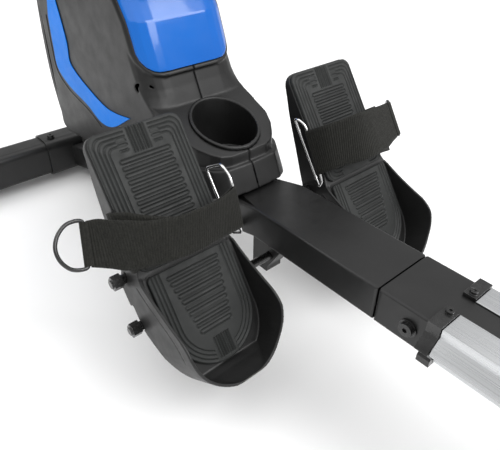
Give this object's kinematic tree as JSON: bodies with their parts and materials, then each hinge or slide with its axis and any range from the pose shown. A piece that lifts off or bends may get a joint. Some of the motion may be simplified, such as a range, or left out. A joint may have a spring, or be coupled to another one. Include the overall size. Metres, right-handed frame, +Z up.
{
  "type": "rowing machine",
  "caption": "Folding magnetic rowing machine with tilting pedals, foot straps, sliding seat, pull handle, console and cup holder.",
  "frame": {"origin": "centre of the footprint, on the floor", "axes": "+X from the front stabiliser to the rear foot, +Y across, +Z up"},
  "size_m": [1.916, 0.5739, 0.8103],
  "materials": {
    "frame_paint": "satin black paint",
    "dark_hardware": "black zinc",
    "body_plastic": "fine texture",
    "blue_gloss": "glossy",
    "blue_satin": "satin",
    "pedal_plastic": "matte",
    "rubber": "matte",
    "webbing": "ribbed webbing",
    "aluminium": "extruded, satin anodised",
    "steel": "zinc plated",
    "chrome": "polished",
    "cast_iron": "painted",
    "foam": "foam",
    "seat_cover": "grained vinyl",
    "screen_glass": "glossy"
  },
  "bodies": {
    "base": {"main_frame": "frame_paint", "front_stabilizer_left": "frame_paint", "front_foot_left": "rubber", "housing_left": "body_plastic", "accent_stripe_left": "blue_satin", "front_stabilizer_right": "frame_paint", "front_foot_right": "rubber", "housing_right": "body_plastic", "accent_stripe_right": "blue_satin", "pedal_axle": "dark_hardware", "pedal_stop_rod": "dark_hardware", "top_cover": "blue_gloss", "cup_holder": "body_plastic", "flywheel_axle": "steel", "drive_belt": "rubber", "console_post": "frame_paint", "handle_rest": "body_plastic"},
    "rail": {"rail_beam": "frame_paint", "fold_hinge_pin": "steel", "fold_bolt": "dark_hardware", "rail_end_cap": "body_plastic", "rear_leg": "frame_paint", "rail_profile_left": "aluminium", "front_clamp_left": "dark_hardware", "rear_foot_left": "rubber", "rail_profile_right": "aluminium", "front_clamp_right": "dark_hardware", "rear_foot_right": "rubber"},
    "seat": {"seat_cushion": "seat_cover", "seat_carriage": "dark_hardware"},
    "roller_front": {"seat_roller_front": "body_plastic"},
    "roller_rear": {"seat_roller_rear": "body_plastic"},
    "lock_knob": {"fold_lock_knob": "body_plastic"},
    "flywheel": {"flywheel": "cast_iron"},
    "spool": {"strap_spool": "body_plastic"},
    "brake": {"brake_arm": "steel"},
    "knob": {"tension_knob": "body_plastic"},
    "console": {"console_case": "body_plastic", "console_lens": "screen_glass"},
    "button_mode": {"button_mode": "body_plastic"},
    "button_set": {"button_set": "body_plastic"},
    "button_reset": {"button_reset": "body_plastic"},
    "handle": {"handle_bar": "frame_paint", "handle_grip_left": "foam", "handle_grip_right": "foam", "pull_strap": "webbing"},
    "pedal_left": {"pedal_base_left": "pedal_plastic", "toe_pad_left": "rubber", "heel_pad_left": "rubber", "foot_strap_left": "webbing", "strap_ring_left": "chrome"},
    "pull_ring_left": {"pull_ring_left": "dark_hardware"},
    "wheel_left": {"transport_wheel_left": "body_plastic"},
    "pedal_right": {"pedal_base_right": "pedal_plastic", "toe_pad_right": "rubber", "heel_pad_right": "rubber", "foot_strap_right": "webbing", "strap_ring_right": "chrome"},
    "pull_ring_right": {"pull_ring_right": "dark_hardware"},
    "wheel_right": {"transport_wheel_right": "body_plastic"}
  },
  "joints": [
    {"name": "rail_fold", "type": "hinge", "parent": "base", "child": "rail", "pos_m": [-0.077, 0, 0.2], "axis": [0, 1, 0], "range_deg": [-90, 0]},
    {"name": "lock_knob_turn", "type": "hinge", "parent": "rail", "child": "lock_knob", "pos_m": [-0.039, 0, 0.178], "axis": [0, 1, 0], "range_deg": [0, 720]},
    {"name": "seat_slide", "type": "slide", "parent": "rail", "child": "seat", "axis": [1, 0, 0], "range_m": [-0.33, 0.36]},
    {"name": "roller_front_turn", "type": "hinge", "parent": "seat", "child": "roller_front", "pos_m": [0.408, 0, 0.222], "axis": [0, 1, 0], "continuous": true},
    {"name": "roller_rear_turn", "type": "hinge", "parent": "seat", "child": "roller_rear", "pos_m": [0.548, 0, 0.222], "axis": [0, 1, 0], "continuous": true},
    {"name": "handle_pull", "type": "slide", "parent": "base", "child": "handle", "axis": [1, 0, 0], "range_m": [0, 0.9], "stiffness_N_per_m": 15, "deforming": ["pull_strap"]},
    {"name": "spool_turn", "type": "hinge", "parent": "base", "child": "spool", "pos_m": [-0.537, 0, 0.267], "axis": [0, 1, 0], "continuous": true},
    {"name": "flywheel_turn", "type": "hinge", "parent": "base", "child": "flywheel", "pos_m": [-0.672, 0, 0.329], "axis": [0, 1, 0], "continuous": true},
    {"name": "brake_swing", "type": "hinge", "parent": "base", "child": "brake", "pos_m": [-0.731, 0, 0.4312], "axis": [0, 1, 0], "range_deg": [0, 4]},
    {"name": "tension_turn", "type": "hinge", "parent": "base", "child": "knob", "pos_m": [-0.647, 0, 0.43], "axis": [0, 1, 0], "range_deg": [0, 280]},
    {"name": "console_tilt", "type": "hinge", "parent": "base", "child": "console", "pos_m": [-0.667, 0, 0.717], "axis": [0, 1, 0], "range_deg": [-15, 15]},
    {"name": "button_mode_press", "type": "slide", "parent": "console", "child": "button_mode", "axis": [-0.9135, 0, -0.4067], "range_m": [0, 0.003], "stiffness_N_per_m": 300},
    {"name": "button_set_press", "type": "slide", "parent": "console", "child": "button_set", "axis": [-0.9135, 0, -0.4067], "range_m": [0, 0.003], "stiffness_N_per_m": 300},
    {"name": "button_reset_press", "type": "slide", "parent": "console", "child": "button_reset", "axis": [-0.9135, 0, -0.4067], "range_m": [0, 0.003], "stiffness_N_per_m": 300},
    {"name": "pedal_left_tilt", "type": "hinge", "parent": "base", "child": "pedal_left", "pos_m": [-0.312, 0, 0.165], "axis": [0, -1, 0], "range_deg": [0, 20]},
    {"name": "pull_ring_left_swing", "type": "hinge", "parent": "pedal_left", "child": "pull_ring_left", "pos_m": [-0.29573, 0.23642, 0.2703], "axis": [0.5136, 0.0565, -0.8561], "range_deg": [-20, 20]},
    {"name": "wheel_left_turn", "type": "hinge", "parent": "base", "child": "wheel_left", "pos_m": [-0.938, 0, 0.033], "axis": [0, 1, 0], "continuous": true},
    {"name": "pedal_right_tilt", "type": "hinge", "parent": "base", "child": "pedal_right", "pos_m": [-0.312, 0, 0.165], "axis": [0, -1, 0], "range_deg": [0, 20]},
    {"name": "pull_ring_right_swing", "type": "hinge", "parent": "pedal_right", "child": "pull_ring_right", "pos_m": [-0.31699, -0.25576, 0.26043], "axis": [0.5417, -0.2744, -0.7945], "range_deg": [-20, 20]},
    {"name": "wheel_right_turn", "type": "hinge", "parent": "base", "child": "wheel_right", "pos_m": [-0.938, 0, 0.033], "axis": [0, 1, 0], "continuous": true}
  ],
  "couplings": [
    {"joint": "roller_front_turn", "follows": "seat_slide", "rad_per_m": 68.027},
    {"joint": "roller_rear_turn", "follows": "seat_slide", "rad_per_m": 68.027},
    {"joint": "spool_turn", "follows": "handle_pull", "rad_per_m": 42.735},
    {"joint": "brake_swing", "follows": "tension_turn", "ratio": 0.014286}
  ]
}
